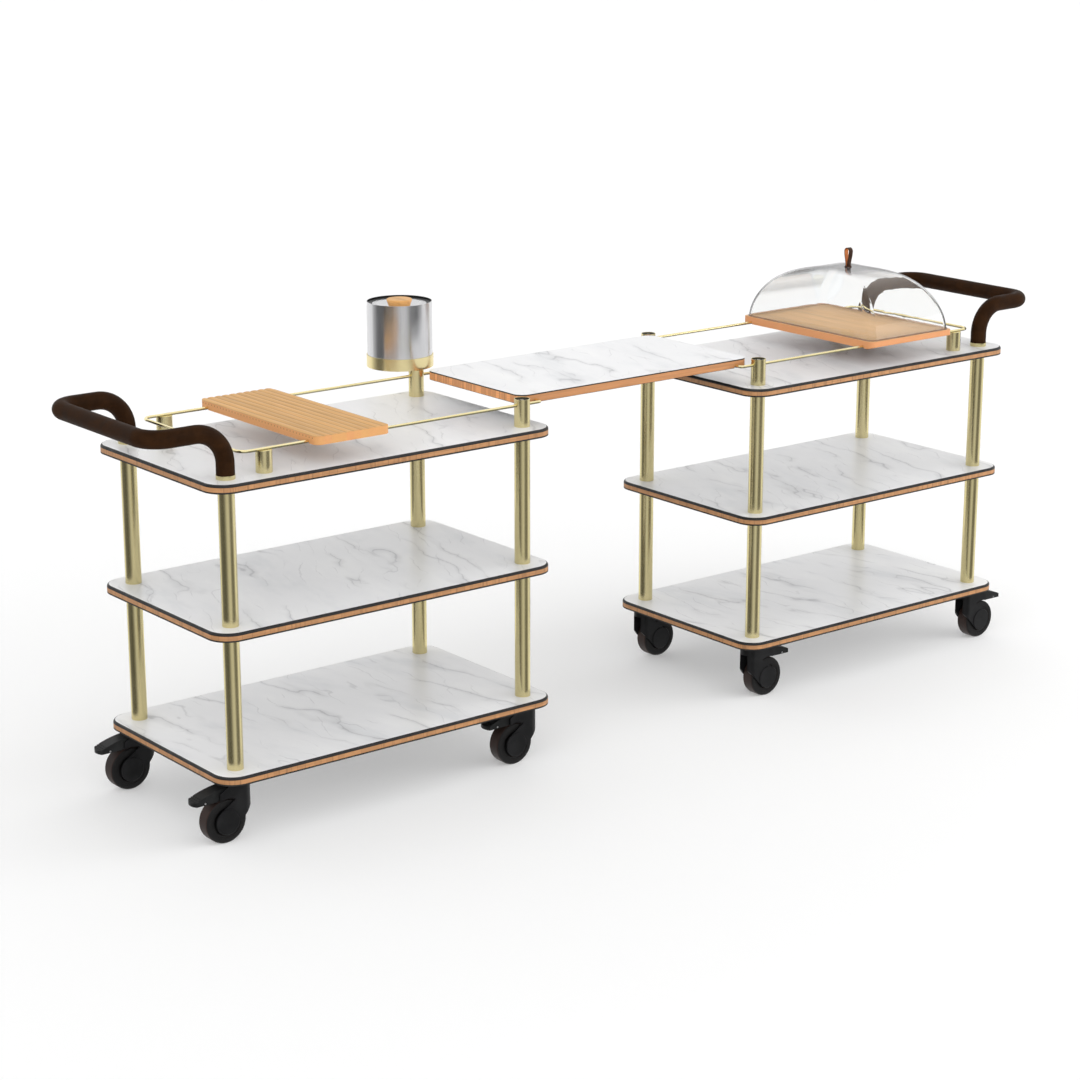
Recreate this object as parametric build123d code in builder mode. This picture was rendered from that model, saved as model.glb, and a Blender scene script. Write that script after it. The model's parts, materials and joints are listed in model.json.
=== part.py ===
from build123d import *
import os
from math import copysign, cos, radians, sin, sqrt

os.makedirs("parts", exist_ok=True)

# A buffet station: two like carts on casters, end to end along X, linked by a bridge shelf.
# The origin is on the floor, midway between the carts and on their centre line. Sizes are in millimetres.

# Shelves of one cart
shelf_length = 1015.0
shelf_width = 590.0
shelf_corner = 57.5
shelf_pitch = 363.0
slab_thickness = 7.0
slab_nose = 6.5
core_thickness = 11.0
backing_thickness = 4.0
cart_gap = 690.0

# Posts and the tie rods inside them
post_diameter = 41.0
post_wall = 1.5
post_inset_x = 65.5
post_inset_y = 63.0
rod_diameter = 12.0
rod_hole_clearance = 0.5
plug_height = 28.0
plug_clearance = 0.1
cap_thickness = 4.0
cap_recess = 2.5
cap_socket_diameter = 9.0
cap_socket_depth = 2.5

# Rail and the short posts that carry it
rail_diameter = 8.0
rail_height = 56.0
rail_clearance = 0.1
rail_inset = 43.5
rail_bend = 25.0
hook_bend = 10.0
hook_offset = 62.5
hook_depth = 15.0
tall_post_height = 72.0
short_post_inset = 107.0
short_post_crown = 8.0
saddle_depth = 2.5

# Handle
handle_rise = 117.5
handle_reach = 200.0
handle_bend = 80.0
handle_corner = 55.0
handle_tube_diameter = 38.0
handle_tube_wall = 2.0
sleeve_diameter = 45.0
sleeve_clearance = 0.1
collar_diameter = 47.0
collar_height = 10.0

# Bridge shelf
bridge_overhang = 50.0
bridge_side_gap = 3.5
bridge_corner = 30.0
bridge_slab_thickness = 3.5
bridge_core_thickness = 19.0
bridge_backing_thickness = 1.0
hook_cover = 6.5
hook_end_gap = 2.0
hook_clearance = 0.05

# Boards that slide on the rails
board_clearance = 0.3
board_seat = 0.5
carving_length = 540.0
carving_width = 217.0
carving_thickness = 22.0
carving_corner = 18.0
carving_rib_count = 10
carving_rib_depth = 1.8
carving_edge_land = 1.0
carving_offset = 101.0
cloche_board_length = 536.0
cloche_board_width = 331.0
cloche_board_thickness = 21.0
cloche_board_corner = 16.0
cloche_bevel_rise = 5.0
cloche_bevel_run = 16.0
cloche_post_gap = 24.0

# Dome and its strap loop
dome_inset = 6.0
dome_wall = 3.0
dome_height = 164.0
dome_corner = 23.0
dome_crown_angle = 86.0
dome_lean_x = 0.50
dome_lean_y = 0.73
dome_rise = 1.2
dome_steps = 8
dome_seat_gap = 0.2
dome_flange = 3.0
dome_flange_height = 3.0
strap_width = 15.0
strap_thickness = 2.4
loop_height = 57.0
loop_diameter = 21.0
loop_foot = 8.0

# Cooler on the rail post
cup_diameter = 181.0
cup_height = 32.0
cup_wall = 2.0
cup_floor = 3.0
cup_post_cover = 16.5
cooler_clearance = 0.3
cooler_height = 173.0
cooler_wall = 1.5
cooler_floor = 2.0
cooler_collar_drop = 9.0
cooler_ledge = 2.5
liner_diameter = 140.0
liner_flange_thickness = 3.0
liner_stand = 18.0
lid_overlap = 3.0
lid_thickness = 1.5
lid_rim = 2.5
lid_depth = 18.0
knob_diameter = 71.0
knob_foot_diameter = 50.0
knob_height = 31.0
knob_round = 2.5

# Caster wheel and axle
wheel_diameter = 113.0
wheel_width = 40.0
wheel_hub_width = 43.0
tyre_thickness = 14.0
tyre_shoulder = 6.0
hub_rim_thickness = 7.0
hub_rim_inset = 1.0
hub_web_thickness = 16.0
hub_boss_diameter = 28.0
tyre_clearance = 0.05
axle_diameter = 12.0
running_clearance = 0.05

# Caster fork and its plate
trail = 41.0
caster_head = 44.0
plate_thickness = 9.0
plate_diameter = 62.0
swivel_gap = 0.2
king_pin_diameter = 18.0
king_nut_diameter = 26.0
king_nut_height = 7.0
crown_thickness = 18.0
fork_width = 51.0
fork_gap = 44.0
fork_reach = 35.5
fork_shoulder_rise = 35.0
fork_window = 30.0
neck_back = 14.0
neck_rise = 57.0
ear_shoulder = 34.0
ear_reach = 60.0
ear_drop = 16.0
wheel_gap = 4.0
hub_cover_diameter = 64.0
hub_cover_height = 2.0
hub_cover_chamfer = 1.2

# Brake pedal
pedal_width = 40.0
pedal_side_gap = 0.4
pedal_root = 22.0
pedal_swing = 3.5
pedal_pivot = 30.0
pedal_pivot_drop = 15.0
pedal_pin_diameter = 6.0
pedal_top_drop = 2.5
pedal_crest = 75.0
pedal_crest_drop = 9.0
pedal_reach = 129.0
pedal_tip_drop = 28.0
pedal_tip_radius = 36.0
pedal_tip_height = 8.0
pedal_trim = 3.0
pedal_heel = 66.0
pedal_gap = 5.0
pedal_wall = 4.0
pedal_rib_diameter = 3.0
pedal_rib_shares = (0.80, 0.86, 0.92)

# Heights above the floor
wheel_radius = wheel_diameter / 2
axle_z = wheel_radius
deck_z = wheel_diameter + caster_head
shelf_thickness = slab_thickness + core_thickness + backing_thickness
shelf_faces = [deck_z + shelf_thickness + level * shelf_pitch for level in range(3)]
top_z = shelf_faces[-1]
rail_z = top_z + rail_height
tall_post_z = top_z + tall_post_height
bar_z = top_z + handle_rise

# Places in cart a, whose handle points along -X
shelf_x = -(cart_gap + shelf_length) / 2
inner_x = -cart_gap / 2 - post_inset_x
outer_x = -cart_gap / 2 - shelf_length + post_inset_x
post_y = shelf_width / 2 - post_inset_y
bar_x = outer_x - handle_reach
rail_end_x = outer_x + rail_inset
short_post_x = outer_x + short_post_inset
hook_x = inner_x + hook_offset
inner_points = [(inner_x, -post_y), (inner_x, post_y)]
outer_points = [(outer_x, -post_y), (outer_x, post_y)]
short_points = [(short_post_x, -post_y), (short_post_x, post_y)]
post_points = inner_points + outer_points
post_radius = post_diameter / 2
post_bore = post_radius - post_wall
rail_radius = rail_diameter / 2


def save(piece, name):
    """Label one finished piece and write it to its own file."""
    piece.label = name
    export_step(piece, f"parts/{name}.step")


def save_on_both_carts(piece, name):
    """Write a cart's piece where cart a has it, and turned half round for cart b."""
    save(piece, f"{name}_a")
    save(piece.rotate(Axis.Z, 180), f"{name}_b")


def shelf_outline():
    """Draw a shelf's rounded outline with its holes for the tie rods."""
    with Locations((shelf_x, 0)):
        RectangleRounded(shelf_length, shelf_width, shelf_corner)
    with Locations(*post_points):
        Circle(rod_diameter / 2 + rod_hole_clearance, mode=Mode.SUBTRACT)


# Shelf slabs: marble decor on a black board
for shelf, face_z in zip(("bottom", "middle", "top"), shelf_faces):
    with BuildPart() as slab:
        with BuildSketch(Plane.XY.offset(face_z - slab_thickness)):
            shelf_outline()
        extrude(amount=slab_thickness)
        fillet(slab.faces().sort_by(Axis.Z)[-1].outer_wire().edges(), slab_nose)
    save_on_both_carts(slab.part, f"{shelf}_slab")

# Plywood cores under the slabs
with BuildPart() as shelf_cores:
    for face_z in shelf_faces:
        with BuildSketch(Plane.XY.offset(face_z - slab_thickness - core_thickness)):
            shelf_outline()
        extrude(amount=core_thickness)
save_on_both_carts(shelf_cores.part, "shelf_cores")

# Black backings under the cores
with BuildPart() as shelf_backings:
    for face_z in shelf_faces:
        with BuildSketch(Plane.XY.offset(face_z - shelf_thickness)):
            shelf_outline()
        extrude(amount=backing_thickness)
save_on_both_carts(shelf_backings.part, "shelf_backings")

# Post tubes between the shelves
with BuildPart() as posts:
    for face_z in shelf_faces[:-1]:
        with BuildSketch(Plane.XY.offset(face_z)):
            with Locations(*post_points):
                Circle(post_radius)
                Circle(post_bore, mode=Mode.SUBTRACT)
        extrude(amount=shelf_pitch - shelf_thickness)
save_on_both_carts(posts.part, "posts")

# Tie rods with the plugs that hold what stands on top, and the dark caps of the tall rail posts
cap_z = tall_post_z - cap_recess
with BuildPart() as tie_rods:
    with BuildSketch(Plane.XY.offset(deck_z)):
        with Locations(*post_points):
            Circle(rod_diameter / 2)
    extrude(amount=top_z - deck_z)
    with BuildSketch(Plane.XY.offset(top_z)):
        with Locations(*inner_points):
            Circle(post_bore - plug_clearance)
        with Locations(*outer_points):
            Circle(handle_tube_diameter / 2 - handle_tube_wall - plug_clearance)
    extrude(amount=plug_height)
    with BuildSketch(Plane.XY.offset(cap_z)):
        with Locations(*inner_points):
            Circle(post_bore - plug_clearance)
    extrude(amount=-cap_thickness)
    with BuildSketch(Plane.XY.offset(cap_z)):
        with Locations(*inner_points):
            RegularPolygon(cap_socket_diameter / 2, 6)
    extrude(amount=-cap_socket_depth, mode=Mode.SUBTRACT)
save_on_both_carts(tie_rods.part, "tie_rods")

# Rail posts: tall tubes that the rail runs through, and short closed ones that it lies on
short_post_height = rail_height - rail_radius + saddle_depth
with BuildPart() as rail_posts:
    with BuildSketch(Plane.XY.offset(top_z)):
        with Locations(*inner_points):
            Circle(post_radius)
            Circle(post_bore, mode=Mode.SUBTRACT)
    extrude(amount=tall_post_height)
    with BuildSketch(Plane.XY.offset(top_z)):
        with Locations(*short_points):
            Circle(post_radius)
    extrude(amount=short_post_height)
    with BuildSketch(Plane.XY.offset(top_z)):
        with Locations(*short_points):
            Circle(post_bore)
    extrude(amount=short_post_height - short_post_crown, mode=Mode.SUBTRACT)
    with BuildSketch(Plane.YZ.offset(outer_x)):
        with Locations((-post_y, rail_z), (post_y, rail_z)):
            Circle(rail_radius + rail_clearance)
    extrude(amount=inner_x + post_diameter - outer_x, mode=Mode.SUBTRACT)
save_on_both_carts(rail_posts.part, "rail_posts")

# Wire rail: a U whose ends turn inward as hooks for the bridge
bridge_half_width = post_y - post_radius - bridge_side_gap
hook_end_y = bridge_half_width - hook_depth
with BuildPart() as rail:
    with BuildLine(Plane.XY.offset(rail_z)) as rail_path:
        FilletPolyline(
            (hook_x, -hook_end_y),
            (hook_x, -post_y),
            (rail_end_x, -post_y),
            (rail_end_x, post_y),
            (hook_x, post_y),
            (hook_x, hook_end_y),
            radius=(hook_bend, rail_bend, rail_bend, hook_bend),
        )
    with BuildSketch(Plane(origin=rail_path.line @ 0, z_dir=rail_path.line % 0)):
        Circle(rail_radius)
    sweep()
save_on_both_carts(rail.part, "rail")


def handle_path(foot_z):
    """Draw the handle's centre line from one foot, out and round, to the other foot."""
    return FilletPolyline(
        (outer_x, -post_y, foot_z),
        (outer_x, -post_y, bar_z),
        (bar_x, -post_y, bar_z),
        (bar_x, post_y, bar_z),
        (outer_x, post_y, bar_z),
        (outer_x, post_y, foot_z),
        radius=(handle_bend, handle_corner, handle_corner, handle_bend),
    )


# Handle tube with a brass collar at each foot
handle_tube_radius = handle_tube_diameter / 2
with BuildPart() as handle_tube:
    with BuildLine():
        handle_path(top_z)
    with BuildSketch(Plane((outer_x, -post_y, top_z))):
        Circle(handle_tube_radius)
        Circle(handle_tube_radius - handle_tube_wall, mode=Mode.SUBTRACT)
    sweep()
    with BuildSketch(Plane.XY.offset(top_z)):
        with Locations(*outer_points):
            Circle(collar_diameter / 2)
            Circle(handle_tube_radius - handle_tube_wall, mode=Mode.SUBTRACT)
    extrude(amount=collar_height)
save_on_both_carts(handle_tube.part, "handle_tube")

# Dark sleeve over the handle tube
sleeve_foot_z = top_z + collar_height
with BuildPart() as handle_sleeve:
    with BuildLine():
        handle_path(sleeve_foot_z)
    with BuildSketch(Plane((outer_x, -post_y, sleeve_foot_z))):
        Circle(sleeve_diameter / 2)
        Circle(handle_tube_radius + sleeve_clearance, mode=Mode.SUBTRACT)
    sweep()
save_on_both_carts(handle_sleeve.part, "handle_sleeve")

# Caster plates with their king pins and nuts
plate_z = deck_z - plate_thickness
fork_top = plate_z - swivel_gap
crown_z = fork_top - crown_thickness
nut_z = crown_z - swivel_gap
with BuildPart() as caster_plates:
    with BuildSketch(Plane.XY.offset(plate_z)):
        with Locations(*post_points):
            Circle(plate_diameter / 2)
    extrude(amount=plate_thickness)
    with BuildSketch(Plane.XY.offset(nut_z)):
        with Locations(*post_points):
            Circle(king_pin_diameter / 2)
    extrude(amount=plate_z - nut_z)
    with BuildSketch(Plane.XY.offset(nut_z)):
        with Locations(*post_points):
            RegularPolygon(king_nut_diameter / 2, 6)
    extrude(amount=-king_nut_height)
save_on_both_carts(caster_plates.part, "caster_plates")

# One caster is modelled with its swivel axis on Z and its wheel trailing along +X
guard_radius = wheel_radius + wheel_gap
fork_half = fork_width / 2
fork_shoulder_z = axle_z + fork_shoulder_rise
neck_z = axle_z + neck_rise
pedal_half = pedal_width / 2
pivot_point = (pedal_pivot, fork_top - pedal_pivot_drop)
axle_point = (trail, axle_z)
nut_room = king_nut_diameter / 2 + pedal_side_gap

# Fork: rounded crown, two cheeks with hub covers, ears for the pedal, and its axle and pedal pin
with BuildPart() as fork:
    with BuildSketch(Plane.XZ):
        with BuildLine():
            Polyline(
                (-fork_reach, fork_shoulder_z),
                (-fork_reach, fork_top),
                (ear_shoulder, fork_top),
                (ear_reach, fork_top - ear_drop),
                (ear_reach, axle_z),
                axle_point,
                close=True,
            )
        make_face()
        with Locations(axle_point):
            Circle(guard_radius, mode=Mode.SUBTRACT)
        with BuildLine() as neck:
            CenterArc(axle_point, hub_cover_diameter / 2, 0, 360)
            Line((-fork_reach, fork_shoulder_z), (-fork_reach, neck_z))
            Line((-fork_reach, neck_z), (neck_back, neck_z))
        make_hull(neck.edges())
    extrude(amount=fork_half, both=True)
    with BuildSketch():
        with Locations((fork_half - fork_reach, 0)):
            Circle(fork_half)
            Rectangle(fork_reach + trail + guard_radius, fork_width, align=(Align.MIN, Align.CENTER))
    extrude(amount=fork_top, mode=Mode.INTERSECT)
    with BuildSketch(Plane.XZ):
        with Locations(axle_point):
            Circle(guard_radius)
    extrude(amount=fork_gap / 2, both=True, mode=Mode.SUBTRACT)
    with BuildSketch(Plane.XY.offset(fork_top)):
        Circle(king_pin_diameter / 2 + running_clearance)
    extrude(amount=-crown_thickness, mode=Mode.SUBTRACT)
    with BuildSketch(Plane.XY.offset(crown_z)):
        with Locations((nut_room, 0)):
            Rectangle(nut_room + fork_reach, fork_window, align=(Align.MAX, Align.CENTER))
    extrude(amount=-crown_z, mode=Mode.SUBTRACT)
    with BuildSketch(Plane.XY.offset(fork_top)):
        with Locations((pedal_root - pedal_swing, 0)):
            Rectangle(ear_reach, pedal_width + 2 * pedal_side_gap, align=(Align.MIN, Align.CENTER))
    extrude(amount=axle_z - fork_top, mode=Mode.SUBTRACT)
    for side in (-1, 1):
        with BuildSketch(Plane.XZ.offset(side * fork_half)):
            with Locations(axle_point):
                Circle(hub_cover_diameter / 2)
        extrude(amount=side * hub_cover_height)
    chamfer(fork.edges().filter_by(GeomType.CIRCLE).group_by(Axis.Y)[0], hub_cover_chamfer)
    chamfer(fork.edges().filter_by(GeomType.CIRCLE).group_by(Axis.Y)[-1], hub_cover_chamfer)
    with BuildSketch(Plane.XZ):
        with Locations(axle_point):
            Circle(axle_diameter / 2 + running_clearance)
        with Locations(pivot_point):
            Circle(pedal_pin_diameter / 2 + running_clearance)
    extrude(amount=fork_half, both=True, mode=Mode.SUBTRACT)
    with BuildSketch(Plane.XZ):
        with Locations(axle_point):
            Circle(axle_diameter / 2)
        with Locations(pivot_point):
            Circle(pedal_pin_diameter / 2)
    extrude(amount=fork_half - running_clearance, both=True)

# Wheel: hub with a web, and the tyre on it
wheel_plane = Plane(origin=(trail, 0, axle_z), x_dir=(1, 0, 0), z_dir=(0, 0, 1))
wheel_axis = Axis((trail, 0, axle_z), (0, 1, 0))
hub_radius = wheel_radius - tyre_thickness - tyre_clearance
hub_rim_radius = hub_radius - hub_rim_thickness
hub_bore = axle_diameter / 2 + running_clearance
with BuildPart() as wheel:
    with BuildSketch(wheel_plane):
        with Locations((hub_bore, 0)):
            Rectangle(hub_boss_diameter / 2 - hub_bore, wheel_hub_width, align=(Align.MIN, Align.CENTER))
            Rectangle(hub_radius - hub_bore, hub_web_thickness, align=(Align.MIN, Align.CENTER))
        with Locations((hub_rim_radius, 0)):
            Rectangle(hub_rim_thickness, wheel_width - 2 * hub_rim_inset, align=(Align.MIN, Align.CENTER))
    revolve(axis=wheel_axis)
    with BuildSketch(wheel_plane) as tyre_section:
        with Locations((wheel_radius, 0)):
            Rectangle(tyre_thickness, wheel_width, align=(Align.MAX, Align.CENTER))
        fillet(tyre_section.vertices().group_by(Axis.X)[-1], tyre_shoulder)
    revolve(axis=wheel_axis)


def over_wheel(x):
    """Return the height of the pedal's underside where it curves over the wheel."""
    return axle_z + sqrt((wheel_radius + pedal_gap) ** 2 - (x - trail) ** 2)


# Brake pedal: a hollow lever with a shoe that curves over the tyre and a ribbed tip
pedal_root_top = (pedal_root, fork_top - pedal_top_drop)
pedal_crest_top = (pedal_crest, fork_top - pedal_crest_drop)
pedal_tip_top = (pedal_reach + pedal_trim, fork_top - pedal_tip_drop)
pedal_tip_low = (pedal_reach + pedal_trim, fork_top - pedal_tip_drop - pedal_tip_height)
pedal_shoe_mid = (pedal_root + pedal_heel) / 2
with BuildPart() as pedal:
    with BuildSketch(Plane.XZ):
        with BuildLine():
            pedal_back = ThreePointArc(pedal_root_top, pedal_crest_top, pedal_tip_top)
            Line(pedal_tip_top, pedal_tip_low)
            Line(pedal_tip_low, (pedal_heel, over_wheel(pedal_heel)))
            ThreePointArc(
                (pedal_heel, over_wheel(pedal_heel)),
                (pedal_shoe_mid, over_wheel(pedal_shoe_mid)),
                (pedal_root, over_wheel(pedal_root)),
            )
            Line((pedal_root, over_wheel(pedal_root)), pedal_root_top)
        make_face()
        with Locations(pivot_point):
            Circle(pedal_pin_diameter / 2 + running_clearance, mode=Mode.SUBTRACT)
        for share in pedal_rib_shares:
            with Locations(pedal_back @ share):
                Circle(pedal_rib_diameter / 2, mode=Mode.SUBTRACT)
    extrude(amount=pedal_half, both=True)
    with BuildSketch():
        with Locations((pedal_reach - pedal_tip_radius, 0)):
            Circle(pedal_tip_radius)
            Rectangle(pedal_reach, pedal_width, align=(Align.MAX, Align.CENTER))
    extrude(amount=fork_top, mode=Mode.INTERSECT)
    with BuildSketch(Plane.XZ):
        with BuildLine():
            Polyline(
                (pedal_heel + pedal_wall, axle_z),
                (pedal_heel + pedal_wall, fork_top - pedal_crest_drop - pedal_wall),
                (pedal_crest + pedal_wall, fork_top - pedal_crest_drop - 2 * pedal_wall),
                (pedal_reach - 2 * pedal_wall, fork_top - pedal_tip_drop - pedal_wall),
                (pedal_reach - 2 * pedal_wall, axle_z),
                close=True,
            )
        make_face()
    extrude(amount=pedal_half - pedal_wall, both=True, mode=Mode.SUBTRACT)

# Casters under every post, trailing towards their cart's handle
for cart, hand in (("a", -1), ("b", 1)):
    for end, reach_x in (("outer", -outer_x), ("inner", -inner_x)):
        for side, caster_y in (("front", -post_y), ("back", post_y)):
            place = Location((hand * reach_x, caster_y, 0), (0, 0, 90 - 90 * hand))
            name = f"{cart}_{end}_{side}"
            save(fork.part.moved(place), f"caster_fork_{name}")
            save(wheel.part.moved(place), f"caster_wheel_{name}")
            save(pedal.part.moved(place), f"brake_pedal_{name}")

# Bridge shelf: three layers, with notches that drop over the rails' hooks
bridge_z = rail_z - hook_cover
bridge_length = 2 * (bridge_overhang - hook_x)
notch_radius = rail_radius + hook_clearance
notch_depth = hook_depth + hook_end_gap


def bridge_layer(low_z, thickness):
    """Make one layer of the bridge, cut by the hook notches where they reach it."""
    with BuildPart() as layer:
        with BuildSketch(Plane.XY.offset(low_z)):
            RectangleRounded(bridge_length, 2 * bridge_half_width, bridge_corner)
        extrude(amount=thickness)
        for side in (-1, 1):
            with BuildSketch(Plane.XZ.offset(side * bridge_half_width)):
                with Locations((hook_x, rail_z), (-hook_x, rail_z)):
                    Circle(notch_radius)
                    Rectangle(2 * notch_radius, 2 * notch_radius, align=(Align.CENTER, Align.MAX))
            extrude(amount=-side * notch_depth, mode=Mode.SUBTRACT)
    return layer.part


bridge_core_z = bridge_z + bridge_backing_thickness
bridge_slab_z = bridge_core_z + bridge_core_thickness
save(bridge_layer(bridge_z, bridge_backing_thickness), "bridge_backing")
save(bridge_layer(bridge_core_z, bridge_core_thickness), "bridge_core")
save(bridge_layer(bridge_slab_z, bridge_slab_thickness), "bridge_slab")

# Boards that straddle the rails
board_z = rail_z - rail_radius - board_seat
slot_radius = rail_radius + board_clearance


def cut_rail_slots(board_x, board_width):
    """Cut the two slots under a board that let it slide along the rails."""
    with BuildSketch(Plane.YZ.offset(board_x - board_width / 2)) as slots:
        with Locations((-post_y, rail_z), (post_y, rail_z)):
            Circle(slot_radius)
            Rectangle(2 * slot_radius, rail_radius + board_seat, align=(Align.CENTER, Align.MAX))
    extrude(slots.sketch, amount=board_width, mode=Mode.SUBTRACT)


# Carving board with rounded ribs along it
carving_x = shelf_x - carving_offset
carving_left = carving_x - carving_width / 2
carving_top = board_z + carving_thickness
carving_groove_z = carving_top - carving_rib_depth
rib_pitch = (carving_width - 2 * carving_edge_land) / carving_rib_count
with BuildPart() as carving_board:
    with BuildSketch(Plane.XZ):
        with BuildLine():
            Polyline(
                (carving_left + carving_edge_land, carving_groove_z),
                (carving_left, carving_groove_z),
                (carving_left, board_z),
                (carving_left + carving_width, board_z),
                (carving_left + carving_width, carving_groove_z),
                (carving_left + carving_width - carving_edge_land, carving_groove_z),
            )
            for rib in range(carving_rib_count):
                rib_x = carving_left + carving_edge_land + rib * rib_pitch
                ThreePointArc(
                    (rib_x, carving_groove_z),
                    (rib_x + rib_pitch / 2, carving_top),
                    (rib_x + rib_pitch, carving_groove_z),
                )
        make_face()
    extrude(amount=carving_length / 2, both=True)
    with BuildSketch(Plane.XY.offset(board_z)):
        with Locations((carving_x, 0)):
            RectangleRounded(carving_width, carving_length, carving_corner)
    extrude(amount=carving_thickness, mode=Mode.INTERSECT)
    cut_rail_slots(carving_x, carving_width)
save(carving_board.part, "carving_board")

# Board under the dome, with a finger bevel under each end
cloche_x = -short_post_x - post_radius - cloche_post_gap - cloche_board_width / 2
cloche_top = board_z + cloche_board_thickness
with BuildPart() as cloche_board:
    with BuildSketch(Plane.XY.offset(board_z)):
        with Locations((cloche_x, 0)):
            RectangleRounded(cloche_board_width, cloche_board_length, cloche_board_corner)
    extrude(amount=cloche_board_thickness)
    for end_y in (-cloche_board_length / 2, cloche_board_length / 2):
        with BuildSketch(Plane.YZ.offset(cloche_x - cloche_board_width / 2)):
            with BuildLine():
                Polyline(
                    (end_y, board_z),
                    (end_y, board_z + cloche_bevel_rise),
                    (end_y - copysign(cloche_bevel_run, end_y), board_z),
                    close=True,
                )
            make_face()
        extrude(amount=cloche_board_width, mode=Mode.SUBTRACT)
    cut_rail_slots(cloche_x, cloche_board_width)
save(cloche_board.part, "cloche_board")

# Clear dome: a hollow shell with four curved sides and a rim that sits on the board
dome_z = cloche_top + dome_seat_gap
dome_half_x = cloche_board_width / 2 - dome_inset
dome_half_y = cloche_board_length / 2 - dome_inset


def dome_body(half_x, half_y, height, corner):
    """Make a solid dome on a rounded rectangle, with steep sides that lean in to a flat crown."""
    with BuildPart() as body:
        for step in range(dome_steps + 1):
            lean = radians(dome_crown_angle * step / dome_steps)
            with BuildSketch(Plane.XY.offset(dome_z + height * sin(lean) ** dome_rise)):
                with Locations((cloche_x, 0)):
                    RectangleRounded(
                        2 * half_x * cos(lean) ** dome_lean_x,
                        2 * half_y * cos(lean) ** dome_lean_y,
                        corner,
                    )
        loft()
    return body.part


dome_outside = dome_body(dome_half_x, dome_half_y, dome_height, dome_corner)
dome_inside = dome_body(
    dome_half_x - dome_wall, dome_half_y - dome_wall, dome_height - dome_wall, dome_corner - dome_wall
)
with BuildPart() as cloche_dome:
    add(dome_outside)
    with BuildSketch(Plane.XY.offset(dome_z)):
        with Locations((cloche_x, 0)):
            RectangleRounded(
                2 * (dome_half_x + dome_flange),
                2 * (dome_half_y + dome_flange),
                dome_corner + dome_flange,
            )
    extrude(amount=dome_flange_height)
    add(dome_inside, mode=Mode.SUBTRACT)
save(cloche_dome.part, "cloche_dome")

# Leather strap loop on the dome
loop_z = dome_z + dome_height * sin(radians(dome_crown_angle)) ** dome_rise
loop_radius = loop_diameter / 2
loop_centre = (0, loop_z + loop_height - loop_radius)
loop_foot_z = loop_z + strap_thickness
with BuildPart() as cloche_loop:
    with BuildSketch(Plane.YZ.offset(cloche_x)):
        with BuildLine():
            CenterArc(loop_centre, loop_radius, 0, 360)
            Line((-loop_foot / 2, loop_z), (loop_foot / 2, loop_z))
        make_hull()
    extrude(amount=strap_width / 2, both=True)
    with BuildSketch(Plane.YZ.offset(cloche_x)):
        with BuildLine():
            CenterArc(loop_centre, loop_radius - strap_thickness, 0, 360)
            Line((-loop_foot / 4, loop_foot_z), (loop_foot / 4, loop_foot_z))
        make_hull()
    extrude(amount=strap_width / 2, both=True, mode=Mode.SUBTRACT)
save(cloche_loop.part, "cloche_loop")

# Cooler: cup on the tall rail post, shell, liner, dished lid and wooden knob, all turned about one axis
cup_radius = cup_diameter / 2
cooler_y = post_y + cup_radius - cup_post_cover
cooler_plane = Plane(origin=(inner_x, cooler_y, 0), x_dir=(1, 0, 0), z_dir=(0, -1, 0))
cooler_axis = Axis((inner_x, cooler_y, 0), (0, 0, 1))
cup_bore = cup_radius - cup_wall
cup_floor_z = tall_post_z + cup_floor


def turned(*outline):
    """Draw a closed outline of radius and height points, and turn it about the cooler's axis."""
    with BuildSketch(cooler_plane) as section:
        with BuildLine():
            Polyline(*outline, close=True)
        make_face()
    revolve(section.sketch, axis=cooler_axis)


with BuildPart() as cooler_cup:
    turned(
        (0, tall_post_z),
        (cup_radius, tall_post_z),
        (cup_radius, tall_post_z + cup_height),
        (cup_bore, tall_post_z + cup_height),
        (cup_bore, cup_floor_z),
        (0, cup_floor_z),
    )
save(cooler_cup.part, "cooler_cup")

shell_radius = cup_bore - cooler_clearance
shell_bore = shell_radius - cooler_wall
shell_z = cup_floor_z + cooler_clearance
rim_z = shell_z + cooler_height
ledge_z = rim_z - cooler_collar_drop - liner_flange_thickness
with BuildPart() as cooler_shell:
    turned(
        (0, shell_z),
        (shell_radius, shell_z),
        (shell_radius, rim_z),
        (shell_bore, rim_z),
        (shell_bore, ledge_z),
        (shell_bore - cooler_ledge, ledge_z),
        (shell_bore - cooler_ledge, ledge_z - cooler_ledge),
        (shell_bore, ledge_z - cooler_ledge),
        (shell_bore, shell_z + cooler_floor),
        (0, shell_z + cooler_floor),
    )
save(cooler_shell.part, "cooler_shell")

liner_radius = liner_diameter / 2
liner_bore = liner_radius - cooler_wall
liner_z = shell_z + liner_stand
flange_z = ledge_z + liner_flange_thickness
with BuildPart() as cooler_liner:
    turned(
        (0, liner_z),
        (liner_radius, liner_z),
        (liner_radius, ledge_z),
        (shell_bore - cooler_clearance, ledge_z),
        (shell_bore - cooler_clearance, flange_z),
        (liner_bore, flange_z),
        (liner_bore, liner_z + cooler_wall),
        (0, liner_z + cooler_wall),
    )
save(cooler_liner.part, "cooler_liner")

lid_z = flange_z + cooler_clearance
lid_radius = liner_radius + lid_overlap
lid_mouth = liner_bore - lid_overlap
lid_floor_z = lid_z - lid_depth
knob_foot_radius = knob_foot_diameter / 2
lid_seat_radius = knob_foot_radius + lid_overlap
with BuildPart() as cooler_lid:
    turned(
        (0, lid_floor_z),
        (lid_seat_radius, lid_floor_z),
        (lid_mouth, lid_z),
        (lid_radius, lid_z),
        (lid_radius, lid_z + lid_rim),
        (lid_mouth - lid_thickness, lid_z + lid_rim),
        (lid_seat_radius, lid_floor_z + lid_thickness),
        (0, lid_floor_z + lid_thickness),
    )
save(cooler_lid.part, "cooler_lid")

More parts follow.
